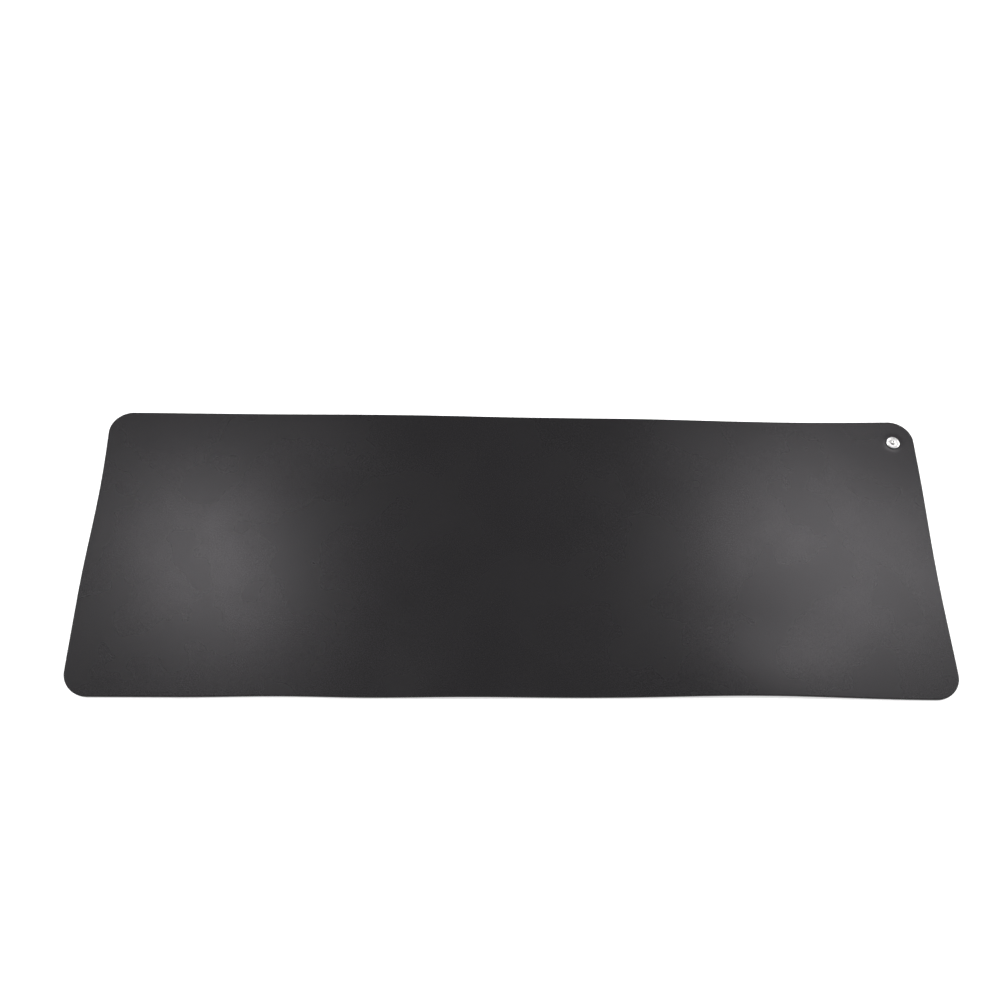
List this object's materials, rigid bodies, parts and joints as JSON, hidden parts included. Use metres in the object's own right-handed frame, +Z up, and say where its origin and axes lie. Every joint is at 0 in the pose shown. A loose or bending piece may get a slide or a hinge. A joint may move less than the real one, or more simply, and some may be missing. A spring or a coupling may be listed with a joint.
{
  "type": "earthing mouse pad",
  "caption": "Long thin conductive desk mat with rounded corners, soft slightly wandering edges and a press stud near one corner for an earthing lead.",
  "frame": {"origin": "centre of the bounding box at the underside, which lies on the desk", "axes": "+X along the mat's length, to the end with the press stud; +Y to the mat's back edge, by the press stud; +Z up, out of the top face"},
  "size_m": [0.68, 0.25, 0.0044],
  "materials": {
    "conductive_sheet": "matt, fine-grained",
    "snap_nickel": "nickel-plated, worn satin"
  },
  "bodies": {
    "root": {"mat_sheet": "conductive_sheet", "snap_stud": "snap_nickel", "snap_post": "snap_nickel"}
  },
  "joints": []
}
